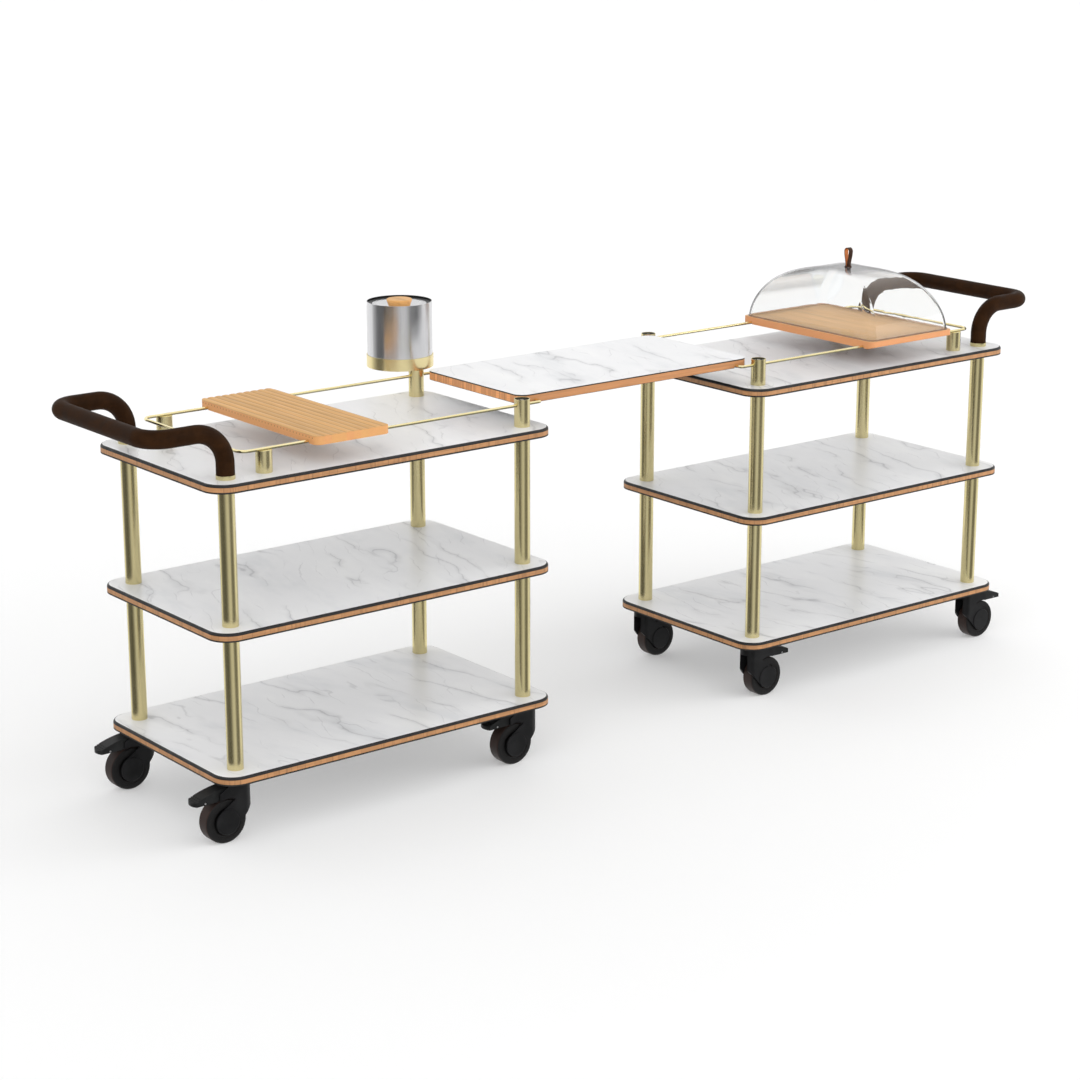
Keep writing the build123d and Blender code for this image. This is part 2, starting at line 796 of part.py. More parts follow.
knob_z = lid_floor_z + lid_thickness
with BuildPart() as lid_knob:
    turned(
        (0, knob_z),
        (knob_foot_radius, knob_z),
        (knob_diameter / 2, knob_z + knob_height),
        (0, knob_z + knob_height),
    )
    fillet(lid_knob.edges().group_by(Axis.Z)[-1], knob_round)
save(lid_knob.part, "lid_knob")
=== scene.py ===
import json
import math

import bmesh
import bpy
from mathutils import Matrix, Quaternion, Vector


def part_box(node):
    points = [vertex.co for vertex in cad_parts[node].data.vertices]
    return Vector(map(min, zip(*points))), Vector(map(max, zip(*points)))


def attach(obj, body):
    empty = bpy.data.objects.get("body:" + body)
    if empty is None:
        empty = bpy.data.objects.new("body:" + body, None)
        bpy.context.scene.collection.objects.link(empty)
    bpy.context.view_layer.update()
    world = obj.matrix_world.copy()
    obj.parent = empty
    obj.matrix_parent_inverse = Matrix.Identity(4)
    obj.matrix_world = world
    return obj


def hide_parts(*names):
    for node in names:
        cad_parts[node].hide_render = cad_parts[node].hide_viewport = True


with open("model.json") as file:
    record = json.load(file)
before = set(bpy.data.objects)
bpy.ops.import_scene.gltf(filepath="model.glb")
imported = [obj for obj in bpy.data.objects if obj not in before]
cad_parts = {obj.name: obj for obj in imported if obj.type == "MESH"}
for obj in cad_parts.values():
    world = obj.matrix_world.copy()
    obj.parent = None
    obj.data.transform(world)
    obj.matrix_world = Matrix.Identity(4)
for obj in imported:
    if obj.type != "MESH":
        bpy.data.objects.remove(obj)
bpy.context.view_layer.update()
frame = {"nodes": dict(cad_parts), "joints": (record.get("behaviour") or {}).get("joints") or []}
nodes = frame["nodes"]
scene = bpy.context.scene

# Sizes in metres, and a count, that the frame doesn't hold
post_radius = 0.0205
cap_socket = 0.0045
dome_rim = 0.003
rib_count = 10
rib_land = 0.001
rib_depth = 0.0018
peg_pitch = 0.0140
peg_drop = 0.0065
peg_radius = 0.0019


# Node graphs

# Sockets of a Mix node that blends colours
mix_factor, mix_a, mix_b, mix_result = 0, 6, 7, 2


class Graph:
    """A node tree, with short calls for the nodes used here."""

    def __init__(self, tree):
        self.tree = tree
        tree.nodes.clear()
        self.coordinates = self.add("ShaderNodeTexCoord").outputs
        self.place = self.coordinates["Object"]
        self.normal = self.coordinates["Normal"]

    def add(self, kind, **settings):
        """Add a node and set its properties."""
        node = self.tree.nodes.new(kind)
        for key, value in settings.items():
            setattr(node, key, value)
        return node

    def link(self, source, target):
        self.tree.links.new(source, target)

    def feed(self, socket, value):
        """Link a socket, or set it where the value is plain."""
        if isinstance(value, bpy.types.NodeSocket):
            self.link(value, socket)
        else:
            socket.default_value = value

    def set(self, **values):
        """Set or link the shader's own sockets by name, with _ for a space."""
        for key, value in values.items():
            self.feed(self.shader.inputs[key.replace("_", " ")], value)

    def mapped(self, scale, offset=(0, 0, 0), place=None):
        """Stretch a place, and shift it so that two patterns differ."""
        node = self.add("ShaderNodeMapping")
        self.link(place or self.place, node.inputs["Vector"])
        node.inputs["Location"].default_value = offset
        node.inputs["Scale"].default_value = scale
        return node.outputs[0]

    def rotated(self, place, degrees):
        """Turn a place about the vertical."""
        node = self.add("ShaderNodeVectorRotate", rotation_type="Z_AXIS")
        self.link(place, node.inputs["Vector"])
        node.inputs["Angle"].default_value = math.radians(degrees)
        return node.outputs[0]

    def pushed(self, place, amount, scale, detail):
        """Push a place about by noise, so that straight lines wander."""
        node = self.add("ShaderNodeVectorMath", operation="MULTIPLY_ADD")
        drift = self.noise(self.mapped(scale, place=place), detail, output="Color")
        self.link(drift, node.inputs[0])
        node.inputs[1].default_value = amount
        self.link(place, node.inputs[2])
        return node.outputs[0]

    def noise(self, place, detail=4.0, roughness=0.55, output="Fac"):
        """Noise whose features are about one unit of the place wide."""
        node = self.add("ShaderNodeTexNoise")
        self.link(place, node.inputs["Vector"])
        node.inputs["Scale"].default_value = 1.0
        node.inputs["Detail"].default_value = detail
        node.inputs["Roughness"].default_value = roughness
        return node.outputs[output]

    def ramp(self, factor, *stops):
        """Map a factor softly through (position, value or colour) stops."""
        node = self.add("ShaderNodeValToRGB")
        node.color_ramp.interpolation = "EASE"
        elements = node.color_ramp.elements
        while len(elements) < len(stops):
            elements.new(0.5)
        for element, (position, value) in zip(elements, stops):
            colour = value if isinstance(value, tuple) else (value, value, value)
            element.position = position
            element.color = (*colour, 1)
        self.feed(node.inputs["Fac"], factor)
        return node.outputs["Color"]

    def math(self, operation, a, b=0.0, c=0.0):
        node = self.add("ShaderNodeMath", operation=operation)
        for socket, value in zip(node.inputs, (a, b, c)):
            self.feed(socket, value)
        return node.outputs[0]

    def mix(self, factor, a, b, blend="MIX"):
        """Blend two colours, each of them plain or a socket."""
        node = self.add("ShaderNodeMix", data_type="RGBA", blend_type=blend)
        self.feed(node.inputs[mix_factor], factor)
        for index, colour in ((mix_a, a), (mix_b, b)):
            linked = isinstance(colour, bpy.types.NodeSocket)
            self.feed(node.inputs[index], colour if linked else (*colour, 1))
        return node.outputs[mix_result]

    def axis(self, letter, place=None):
        """One coordinate of a place."""
        node = self.add("ShaderNodeSeparateXYZ")
        self.link(place or self.place, node.inputs[0])
        return node.outputs[letter]

    def away(self, a, b):
        """Distance from the point where two offsets are both zero."""
        squares = self.math("ADD", self.math("MULTIPLY", a, a), self.math("MULTIPLY", b, b))
        return self.math("SQRT", squares)

    def bump(self, height, strength, distance):
        node = self.add("ShaderNodeBump")
        node.inputs["Strength"].default_value = strength
        node.inputs["Distance"].default_value = distance
        self.link(height, node.inputs["Height"])
        self.link(node.outputs[0], self.shader.inputs["Normal"])


def srgb(*values):
    """Linear colour from 0 to 255 screen values, by the sRGB curve."""
    shares = [value / 255 for value in values]
    return tuple(s / 12.92 if s < 0.0404 else ((s + 0.055) / 1.055) ** 2.4 for s in shares)


# Materials

def look(name):
    """Start a material with one main shader."""
    material = bpy.data.materials.new(name)
    material.use_nodes = True
    g = Graph(material.node_tree)
    g.material = material
    g.shader = g.add("ShaderNodeBsdfPrincipled")
    g.link(g.shader.outputs[0], g.add("ShaderNodeOutputMaterial").inputs["Surface"])
    return g


def toned(tint, *shares):
    """A colour at one or several brightnesses."""
    tones = [tuple(c * share for c in tint) for share in shares]
    return tones if len(tones) > 1 else tones[0]


def marble(name, face_z, seed, turn):
    """White marble decor whose thin grey veins run at a turn from Y, with a black nose under it."""
    g = look(name)
    flat = g.mapped((1, 1, 0), (seed, -seed, 0))
    bent = g.pushed(flat, (0.014, 0.014, 0), (38, 38, 0), 4)

    def patches(scale, shift, low, high):
        """Soft patches, 0 or 1 over most of the face."""
        cover = g.noise(g.mapped(scale, (0, shift, 0), bent), 2)
        return g.ramp(cover, (low, 0.0), (high, 1.0))

    def veins(angle, per_metre, wander):
        """Distance to the nearest of a row of wandering lines, as a share of their spacing."""
        along = g.rotated(bent, angle)
        drift = g.noise(g.mapped((5, 2.0, 0), (angle, 0, 0), along), 3)
        across = g.math("MULTIPLY", g.axis("X", along), per_metre)
        return g.math("PINGPONG", g.math("MULTIPLY_ADD", drift, wander, across), 0.5)

    main = veins(turn, 8.0, 3.2)
    fine = veins(turn + 14, 17.0, 5.0)
    main_gate = patches((7, 3, 0), 3.0, 0.44, 0.60)
    fine_gate = patches((7, 8, 0), 1.0, 0.45, 0.62)
    cloud = g.noise(g.mapped((7, 2.2, 0), (0, 5.0, 0), g.rotated(bent, turn)), 4, 0.6)
    stone = g.ramp(cloud, (0.30, srgb(226, 227, 229)), (0.50, srgb(238, 238, 239)),
                   (0.72, srgb(244, 244, 244)))
    # A wide halo, fine branches, and the core of the main veins
    for distance, width, gate, depth in ((main, 0.20, main_gate, 0.24),
                                         (fine, 0.045, fine_gate, 0.32),
                                         (main, 0.034, main_gate, 0.52)):
        vein = g.math("MULTIPLY", g.ramp(distance, (0.0, 1.0), (width, 0.0)), gate)
        stone = g.mix(g.math("MULTIPLY", vein, depth), stone, srgb(150, 150, 154))
    skin = 0.0002
    on_face = g.math("GREATER_THAN", g.axis("Z"), face_z - skin)
    speck = g.noise(g.mapped((900, 900, 900)), 2)
    black = g.ramp(speck, (0.35, srgb(17, 16, 16)), (0.70, srgb(30, 28, 28)))
    g.set(Base_Color=g.mix(on_face, black, stone))
    polish = g.math("MULTIPLY_ADD", on_face, -0.4, g.noise(g.mapped((60, 60, 60))))
    g.set(Roughness=g.ramp(polish, (0.0, 0.29), (0.25, 0.36), (0.60, 0.60)))
    return g.material


def plywood(name, tint, ends_only=False):
    """Edge of a plywood core: streaks along it, and upright joints between its strips.

    A core with joints on its ends only has painted light on its ends, and knots along its sides.
    """
    g = look(name)
    streak = g.noise(g.mapped((5, 5, 420)), 4, 0.6)
    strip = g.noise(g.mapped((48, 48, 2)), 2)
    fibre = g.noise(g.mapped((160, 160, 900)), 3, 0.7)
    deep, dark, mid, light = toned(tint, 0.55, 0.76, 1.0, 1.18)
    colour = g.ramp(streak, (0.30, dark), (0.52, mid), (0.74, light))
    shade = g.ramp(strip, (0.40, 0.0), (0.62, 0.55))
    from_joint = g.math("ABSOLUTE", g.math("SUBTRACT", strip, 0.5))
    joint = g.ramp(from_joint, (0.0, 0.75), (0.030, 0.0))
    if ends_only:
        # Painted light: the ends are made 1.6 times lighter than the sides
        painted_end_light = (1.6, 1.6, 1.6)
        on_end = g.ramp(g.math("ABSOLUTE", g.axis("X", g.normal)), (0.40, 0.0), (0.60, 1.0))
        joint = g.math("MULTIPLY", joint, on_end)
        knot = g.ramp(g.noise(g.mapped((4, 4, 30)), 2), (0.56, 0.0), (0.68, 0.8))
        shade = g.mix(on_end, knot, shade)
        colour = g.mix(on_end, colour, painted_end_light, "MULTIPLY")
    colour = g.mix(shade, colour, dark)
    colour = g.mix(joint, colour, deep)
    colour = g.mix(g.ramp(fibre, (0.50, 0.0), (0.80, 0.35)), colour, dark)
    g.set(Base_Color=colour, Roughness=g.ramp(fibre, (0.3, 0.45), (0.7, 0.60)))
    g.bump(fibre, 0.25, 0.0003)
    return g.material


def board_wood(name, tint, ring_scale, side_tint, contrast=1.0, ribbed=None):
    """Oiled board with grain along Y, warmer sides, and an underside darkened by painted shade.

    Where ribbed gives the board's box, it is of glued staves, with painted shade in the grooves
    between them and a row of pegs along its sides.
    """
    g = look(name)
    bent = g.pushed(g.place, (0.03, 0, 0.03), (6, 1.2, 6), 3)
    grain = g.noise(g.mapped((ring_scale, 2.2, ring_scale), place=bent), 5, 0.62)
    pore = g.noise(g.mapped((420, 8, 420), place=bent), 2, 0.6)
    deep, dark, mid, light = toned(tint, 1 - 0.50 * contrast, 1 - 0.22 * contrast, 1.0,
                                   1 + 0.12 * contrast)
    colour = g.ramp(grain, (0.30, dark), (0.50, mid), (0.72, light))
    colour = g.mix(g.ramp(pore, (0.48, 0.0), (0.70, 0.50)), colour, dark)
    side = g.ramp(g.math("ABSOLUTE", g.axis("Z", g.normal)), (0.15, 1.0), (0.55, 0.0))
    colour = g.mix(g.math("MULTIPLY", side, 0.75), colour, side_tint)
    # Painted shade: the underside is darkened to 0.35 of the side colour
    painted_under_shade = g.math("LESS_THAN", g.axis("Z", g.normal), -0.5)
    colour = g.mix(painted_under_shade, colour, toned(side_tint, 0.35))
    if ribbed:
        low, high = ribbed
        pitch = (high.x - low.x - 2 * rib_land) / rib_count
        along = g.math("SUBTRACT", g.axis("X"), low.x + rib_land)
        stave = g.math("FLOOR", g.math("DIVIDE", along, pitch))
        tone = g.add("ShaderNodeTexWhiteNoise", noise_dimensions="1D")
        g.link(stave, tone.inputs["W"])
        colour = g.mix(g.math("MULTIPLY", tone.outputs["Value"], 0.60), colour, dark)
        # Depth in four rib depths, so that 0.25 is the bottom of a groove, where the painted shade
        # is darkest
        sunk = g.math("DIVIDE", g.math("SUBTRACT", high.z, g.axis("Z")), 4 * rib_depth)
        painted_groove_shade = g.ramp(sunk, (0.0, 0.0), (0.14, 0.04), (0.22, 0.60), (0.25, 0.70), (0.27, 0.0))
        colour = g.mix(painted_groove_shade, colour, deep)
        across = g.math("PINGPONG", g.axis("Y"), peg_pitch / 2)
        down = g.math("SUBTRACT", g.axis("Z"), high.z - peg_drop)
        in_peg = g.math("LESS_THAN", g.away(across, down), peg_radius)
        on_side = g.math("GREATER_THAN", g.math("ABSOLUTE", g.axis("X", g.normal)), 0.9)
        peg = g.math("MULTIPLY", on_side, in_peg)
        colour = g.mix(g.math("MULTIPLY", peg, 0.85), colour, toned(tint, 0.30))
    g.set(Base_Color=colour, Specular_IOR_Level=0.3)
    g.set(Roughness=g.ramp(pore, (0.35, 0.45), (0.75, 0.60)))
    g.bump(pore, 0.2, 0.0003)
    return g.material


def metal(name, low, high, rough, brush, strength=0.0, painted_under_shade=1.0, painted_shade_hollow=None):
    """Plated or brushed metal with brush lines.

    Its underside can carry painted shade, and so can the inside of a hollow about an upright at (x,
    y).
    """
    g = look(name)
    lines = g.noise(g.mapped(brush), 3, 0.6)
    smudge = g.noise(g.mapped((14, 14, 14)), 3)
    colour = g.ramp(lines, (0.30, low), (0.70, high))
    if painted_under_shade < 1:
        # Painted shade on the faces that look down
        upward = g.math("MULTIPLY_ADD", g.axis("Z", g.normal), 0.5, 0.5)
        colour = g.mix(g.ramp(upward, (0.30, 1.0), (0.52, 0.0)), colour, toned(low, painted_under_shade))
    if painted_shade_hollow:
        # Painted shade: the inside of the hollow is darkened to near black
        off_x = g.math("SUBTRACT", g.axis("X"), painted_shade_hollow[0])
        off_y = g.math("SUBTRACT", g.axis("Y"), painted_shade_hollow[1])
        outward = g.math("MULTIPLY_ADD", off_x, g.axis("X", g.normal),
                         g.math("MULTIPLY", off_y, g.axis("Y", g.normal)))
        colour = g.mix(g.math("LESS_THAN", outward, -0.01), colour, toned(low, 0.06))
    g.set(Base_Color=colour, Metallic=1.0)
    g.set(Roughness=g.ramp(smudge, (0.30, rough * 0.88), (0.70, rough * 1.12)))
    if strength:
        g.bump(lines, strength, 0.0002)
    return g.material


def moulded(name, low, high, rough, grain=700.0, specular=0.5):
    """Moulded plastic or rubber with a fine texture and faint wear."""
    g = look(name)
    fine = g.noise(g.mapped((grain, grain, grain)), 2)
    wear = g.noise(g.mapped((18, 18, 18)), 4, 0.6)
    g.set(Base_Color=g.ramp(wear, (0.35, low), (0.70, high)), Specular_IOR_Level=specular)
    g.set(Roughness=g.ramp(wear, (0.30, rough * 0.9), (0.75, rough * 1.15)))
    g.bump(fine, 0.15, 0.0002)
    return g.material


def rubber_tyre(name, tread, wall):
    """Tyre with a brown tread and darker side walls, round an axle along Y."""
    g = look(name)
    fine = g.noise(g.mapped((900, 900, 900)), 2)
    wear = g.noise(g.mapped((18, 18, 18)), 4, 0.6)
    on_wall = g.ramp(g.math("ABSOLUTE", g.axis("Y", g.normal)), (0.35, 0.0), (0.75, 1.0))
    worn = g.ramp(wear, (0.35, tread), (0.70, toned(tread, 1.8)))
    g.set(Base_Color=g.mix(on_wall, worn, wall), Specular_IOR_Level=0.25)
    g.set(Roughness=g.ramp(wear, (0.30, 0.50), (0.75, 0.65)))
    g.bump(fine, 0.2, 0.0002)
    return g.material


def post_cap(name, x, y, socket):
    """Black caps of a cart's two tall posts, with a painted highlight at the socket in the middle
    of each.
    """
    g = look(name)
    off_x = g.math("SUBTRACT", g.axis("X"), x)
    off_y = g.math("SUBTRACT", g.math("ABSOLUTE", g.axis("Y")), y)
    wear = g.noise(g.mapped((240, 240, 240)), 3)
    black = g.ramp(wear, (0.35, srgb(15, 13, 10)), (0.70, srgb(30, 27, 21)))
    out = g.math("DIVIDE", g.away(off_x, off_y), 2 * socket)
    # Painted highlight: a bright spot at the socket in the middle of each cap
    centre = g.ramp(out, (0.42, 1.0), (0.54, 0.0))
    g.set(Base_Color=g.mix(centre, black, srgb(206, 200, 184)), Specular_IOR_Level=0.03)
    g.set(Roughness=g.ramp(wear, (0.30, 0.35), (0.70, 0.50)))
    return g.material


def leather(name, low, high, rough, specular):
    """Smooth leather with small cells and soft creases."""
    g = look(name)
    cells = g.add("ShaderNodeTexVoronoi", feature="DISTANCE_TO_EDGE")
    g.link(g.mapped((650, 650, 650)), cells.inputs["Vector"])
    cells.inputs["Scale"].default_value = 1.0
    tone = g.noise(g.mapped((25, 25, 25)), 4, 0.6)
    crease = g.ramp(cells.outputs["Distance"], (0.0, 0.0), (0.18, 1.0))
    worn = g.math("MULTIPLY", g.math("SUBTRACT", 1.0, crease), 0.3)
    g.set(Base_Color=g.mix(worn, g.ramp(tone, (0.32, low), (0.70, high)), low))
    g.set(Roughness=g.ramp(tone, (0.30, rough * 0.9), (0.70, rough * 1.15)))
    g.set(Specular_IOR_Level=specular)
    g.bump(crease, 0.2, 0.0003)
    return g.material


def clear_plastic(name, foot_z, rim):
    """Clear moulded plastic with painted shade where seen edge on, and darker in the rim at its
    foot.
    """
    g = look(name)
    facing = g.add("ShaderNodeLayerWeight")
    facing.inputs["Blend"].default_value = 0.5
    # Painted shade where the wall is seen edge on, and a painted grey reflection on the flatter
    # roof
    wall = g.ramp(facing.outputs["Facing"], (0.45, srgb(252, 253, 253)),
                  (0.53, srgb(160, 160, 161)), (0.61, srgb(46, 46, 48)), (1.0, srgb(24, 24, 26)))
    painted_roof_reflection = g.ramp(facing.outputs["Facing"], (0.60, srgb(252, 253, 253)),
                  (0.69, srgb(222, 222, 223)), (0.74, srgb(160, 160, 162)),
                  (0.79, srgb(96, 96, 98)), (0.86, srgb(36, 36, 38)))
    flatness = g.math("ABSOLUTE", g.axis("Z", g.normal))
    clear = g.mix(g.ramp(flatness, (0.52, 0.0), (0.78, 1.0)), wall, painted_roof_reflection)
    height = g.math("DIVIDE", g.math("SUBTRACT", g.axis("Z"), foot_z), 2 * rim)
    above = g.ramp(height, (0.45, 0.0), (0.60, 1.0))
    flow = g.noise(g.mapped((3, 3, 3)), 2)
    g.set(Base_Color=g.mix(above, srgb(196, 164, 138), clear), Transmission_Weight=1.0, IOR=1.34)
    g.set(Roughness=g.ramp(flow, (0.30, 0.0), (0.75, 0.02)))
    return g.material


plated = (6, 6, 1.5)
brushed = (500, 500, 6)
brass = metal("pale_brass", srgb(220, 207, 156), srgb(228, 215, 166), 0.24, plated)
# A lighter copy of the brass, painted light on the rails, with painted shade on their undersides
rail_brass_painted_light = metal("rail_brass_painted_light", srgb(244, 231, 178), srgb(252, 240, 190), 0.09, plated,
                   painted_under_shade=0.24)
# A lighter copy of the brass, painted light on the cup
cup_brass_painted_light = metal("cup_brass_painted_light", srgb(238, 222, 166), srgb(246, 231, 178), 0.24, plated)
steel = metal("brushed_steel", srgb(212, 212, 214), srgb(223, 223, 224), 0.28, brushed)
shell_low, shell_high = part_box("cooler_shell")
cooler_centre = (shell_low.x + shell_high.x) / 2, (shell_low.y + shell_high.y) / 2
# Painted shade darkens the inside of the shell
shell_steel = metal("shell_steel", srgb(212, 212, 214), srgb(223, 223, 224), 0.21, brushed,
                    painted_shade_hollow=cooler_centre)
plate = metal("plate_steel", srgb(92, 92, 94), srgb(128, 128, 130), 0.38, (240, 240, 240), 0.1)
pin_head = metal("pin_head", srgb(150, 150, 150), srgb(190, 190, 190), 0.3, (300, 300, 300), 0.05)
core = plywood("plywood_edge", srgb(174, 125, 80))
bridge_edge = plywood("bridge_edge", srgb(180, 124, 77), ends_only=True)
backing = moulded("black_backing", srgb(30, 28, 26), srgb(46, 44, 42), 0.55, 500.0, specular=0.3)
fork_plastic = moulded("caster_plastic", srgb(17, 17, 18), srgb(27, 27, 28), 0.45, specular=0.18)
pedal_plastic = moulded("pedal_plastic", srgb(22, 23, 23), srgb(38, 39, 39), 0.50, specular=0.2)
tyre = rubber_tyre("tyre_rubber", srgb(40, 28, 24), srgb(19, 18, 18))
gasket = moulded("black_gasket", srgb(18, 18, 18), srgb(34, 34, 34), 0.45)
sleeve = leather("sleeve_leather", srgb(37, 20, 6), srgb(50, 29, 11), 0.55, 0.05)
strap_out = leather("strap_outside", srgb(46, 27, 16), srgb(70, 43, 27), 0.50, 0.25)
strap_in = leather("strap_inside", srgb(176, 104, 52), srgb(206, 132, 74), 0.65, 0.35)
carving = board_wood("carving_wood", srgb(222, 170, 102), 60.0, srgb(198, 136, 90),
                     ribbed=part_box("carving_board"))
tray = board_wood("tray_wood", srgb(232, 184, 128), 30.0, srgb(188, 118, 74), 0.5)
knob = board_wood("knob_wood", srgb(224, 172, 108), 90.0, srgb(212, 154, 90))
dome = clear_plastic("clear_dome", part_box("cloche_dome")[0].z, dome_rim)

casters = [f"{cart}_{end}_{side}" for cart in ("a", "b") for end in ("outer", "inner")
           for side in ("front", "back")]
paint = dict(bridge_slab=marble("marble_bridge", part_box("bridge_slab")[1].z, 5.2, 14),
             bridge_backing=backing, bridge_core=bridge_edge, carving_board=carving,
             cloche_board=tray, cloche_dome=dome, cloche_loop=strap_out, cooler_cup=cup_brass_painted_light,
             cooler_shell=shell_steel, cooler_liner=steel, cooler_lid=steel, lid_knob=knob)
for cart, cart_seed in (("a", 0.0), ("b", 11.7)):
    for shelf, face_seed, turn in (("bottom", 1.3, -9), ("middle", 3.1, 13), ("top", 7.9, 15)):
        node = f"{shelf}_slab_{cart}"
        paint[node] = marble(f"marble_{shelf}_{cart}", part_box(node)[1].z, cart_seed + face_seed,
                             turn)
    post_low, post_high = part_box(f"posts_{cart}")
    cap_x = post_high.x - post_radius if cart == "a" else post_low.x + post_radius
    caps = post_cap(f"post_cap_{cart}", cap_x, post_high.y - post_radius, cap_socket)
    for name, finish in (("shelf_cores", core), ("shelf_backings", backing), ("posts", brass),
                         ("tie_rods", caps), ("rail_posts", brass), ("rail", rail_brass_painted_light),
                         ("handle_tube", brass), ("handle_sleeve", sleeve),
                         ("caster_plates", plate)):
        paint[f"{name}_{cart}"] = finish
for caster in casters:
    paint[f"caster_fork_{caster}"] = fork_plastic
    paint[f"caster_wheel_{caster}"] = tyre
    paint[f"brake_pedal_{caster}"] = pedal_plastic
for name, finish in paint.items():
    mesh = nodes[name].data
    mesh.materials.clear()
    mesh.materials.append(finish)


# Pieces that the CAD leaves to the scene

upright = (0, 0, 1)
weld_distance = 1e-6


def piece(name, mesh, body, slot, *finishes):
    """Put a finished bmesh into the scene as one smooth piece that rides on a body."""
    bmesh.ops.remove_doubles(mesh, verts=mesh.verts, dist=weld_distance)
    bmesh.ops.recalc_face_normals(mesh, faces=mesh.faces)
    data = bpy.data.meshes.new(name)
    mesh.to_mesh(data)
    mesh.free()
    data.shade_smooth()
    for finish in finishes:
        data.materials.append(finish)
    thing = bpy.data.objects.new(name, data)
    scene.collection.objects.link(thing)
    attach(thing, body)
    return thing


def join_rows(mesh, rows, closed=False):
    """Join each row of points to the following one by faces, round the row where it is closed."""
    for row, following in zip(rows, rows[1:]):
        for k in range(0 if closed else 1, len(row)):
            mesh.faces.new((row[k - 1], row[k], following[k], following[k - 1]))


def turned(centre, axis, *outline, steps=48, closed=False):
    """Turn an open or closed outline of (radius, height) points about an axis through centre."""
    axis = Vector(axis).normalized()
    mesh = bmesh.new()
    rows = []
    for step in range(steps):
        out = Quaternion(axis, 2 * math.pi * step / steps) @ axis.orthogonal().normalized()
        rows.append([mesh.verts.new(Vector(centre) + r * out + h * axis) for r, h in outline])
    join_rows(mesh, rows + rows[:1], closed)
    return mesh


# Leather strap loop, pinched at its foot, standing in a dark washer
loop_low, loop_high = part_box("cloche_loop")
loop_radius = (loop_high.y - loop_low.y) / 2
loop_centre_z = loop_high.z - loop_radius
strap_x = (loop_low.x + loop_high.x) / 2
strap_half = (loop_high.x - loop_low.x) / 2
strap_thickness = 0.0022
strap_edge = 0.0005
strap_foot = 0.0036
strap_arc = 0.4
strap_steps = 64
strap_lanes = (-1, -0.5, 0, 0.5, 1)
washer_radius = 0.0105
washer_height = 0.0032
washer_bore = 0.001
washer_foot_edge = 0.0006
washer_top_edge = 0.001


def strap_point(share):
    """Place on the strap's outer line: 0 is its top, and -1 and 1 are its feet."""
    travel = abs(share)
    if travel < strap_arc:
        angle = travel / strap_arc * math.pi / 2
        y, z = loop_radius * math.sin(angle), loop_centre_z + loop_radius * math.cos(angle)
    else:
        drop = (travel - strap_arc) / (1 - strap_arc)
        pinch = drop * drop * (3 - 2 * drop)
        y = loop_radius + (strap_foot - loop_radius) * pinch
        z = loop_centre_z + (loop_low.z + washer_height / 2 - loop_centre_z) * drop
    return math.copysign(y, share), z


strap_mesh = bmesh.new()
strap_rows = []
for step in range(strap_steps + 1):
    y, z = strap_point(2 * step / strap_steps - 1)
    strap_rows.append([strap_mesh.verts.new((strap_x + lane * strap_half, y, z))
                       for lane in strap_lanes])
join_rows(strap_mesh, strap_rows)
strap = piece("strap_loop", strap_mesh, "dome", "strap", strap_out, strap_in)
if strap.data.polygons[0].normal.y > 0:
    strap.data.flip_normals()
thick = strap.modifiers.new("thickness", "SOLIDIFY")
thick.thickness = strap_thickness
thick.offset = -1
thick.material_offset = 1
soften = strap.modifiers.new("worn_edges", "BEVEL")
soften.width = strap_edge
soften.segments = 2
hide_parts("cloche_loop")

washer = turned((strap_x, 0, loop_low.z), upright, (washer_bore, 0),
                (washer_radius - washer_foot_edge, 0), (washer_radius, washer_foot_edge),
                (washer_radius, washer_height - washer_top_edge),
                (washer_radius - washer_top_edge, washer_height), (washer_bore, washer_height),
                closed=True)
piece("strap_washer", washer, "dome", "strap", strap_out)

# Rubber gasket between the cooler's lid and shell, highest in a lip beside the shell
lid_low, lid_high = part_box("cooler_lid")
liner_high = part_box("cooler_liner")[1]
lid_clearance = 0.0006
shell_clearance = 0.0020
gasket_in = (lid_high.x - lid_low.x) / 2 + lid_clearance
gasket_out = (shell_high.x - shell_low.x) / 2 - shell_clearance
gasket_foot = 0.0002
gasket_edge = 0.0008
inner_height = 0.0016
slope_low, slope_high = 0.0024, 0.0030
lip_width = 0.0030
lip_height = 0.0044
outer_height = 0.0040
seal = turned((*cooler_centre, liner_high.z), upright, (gasket_in, gasket_foot),
              (gasket_in, inner_height), (gasket_in + gasket_edge, slope_low),
              (gasket_out - lip_width, slope_high), (gasket_out - gasket_edge, lip_height),
              (gasket_out, outer_height), (gasket_out, gasket_foot), steps=96, closed=True)
piece("lid_gasket", seal, "cooler", "black_board", gasket)

# Domed pin heads on both sides of each brake pedal
pin_trail = 0.099
pin_height = 0.1165
pin_radius = 0.0026
pin_sunk = 0.001
pin_rim = 0.0004
pin_shoulder = 0.0010
pin_shoulder_radius = pin_radius * 0.7
pin_crown = 0.0012
for caster in casters:
    pedal_low, pedal_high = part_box(f"brake_pedal_{caster}")
    lane = (pedal_low.y + pedal_high.y) / 2
    swivel = next(joint["pos_m"] for joint in frame["joints"]
                  if joint["name"] == f"swivel_{caster}")
    trailing = math.copysign(pin_trail, (pedal_low.x + pedal_high.x) / 2 - swivel[0])
    for out, which in ((-1, "near"), (1, "far")):
        face = lane + out * (pedal_high.y - pedal_low.y) / 2
        head = turned((swivel[0] + trailing, face, pin_height), (0, out, 0),
                      (pin_radius, -pin_sunk), (pin_radius, pin_rim),
                      (pin_shoulder_radius, pin_shoulder), (0, pin_crown), steps=20)
        piece(f"pedal_pin_{caster}_{which}", head, f"pedal_{caster}", "rod_steel", pin_head)


# Floor, light and camera

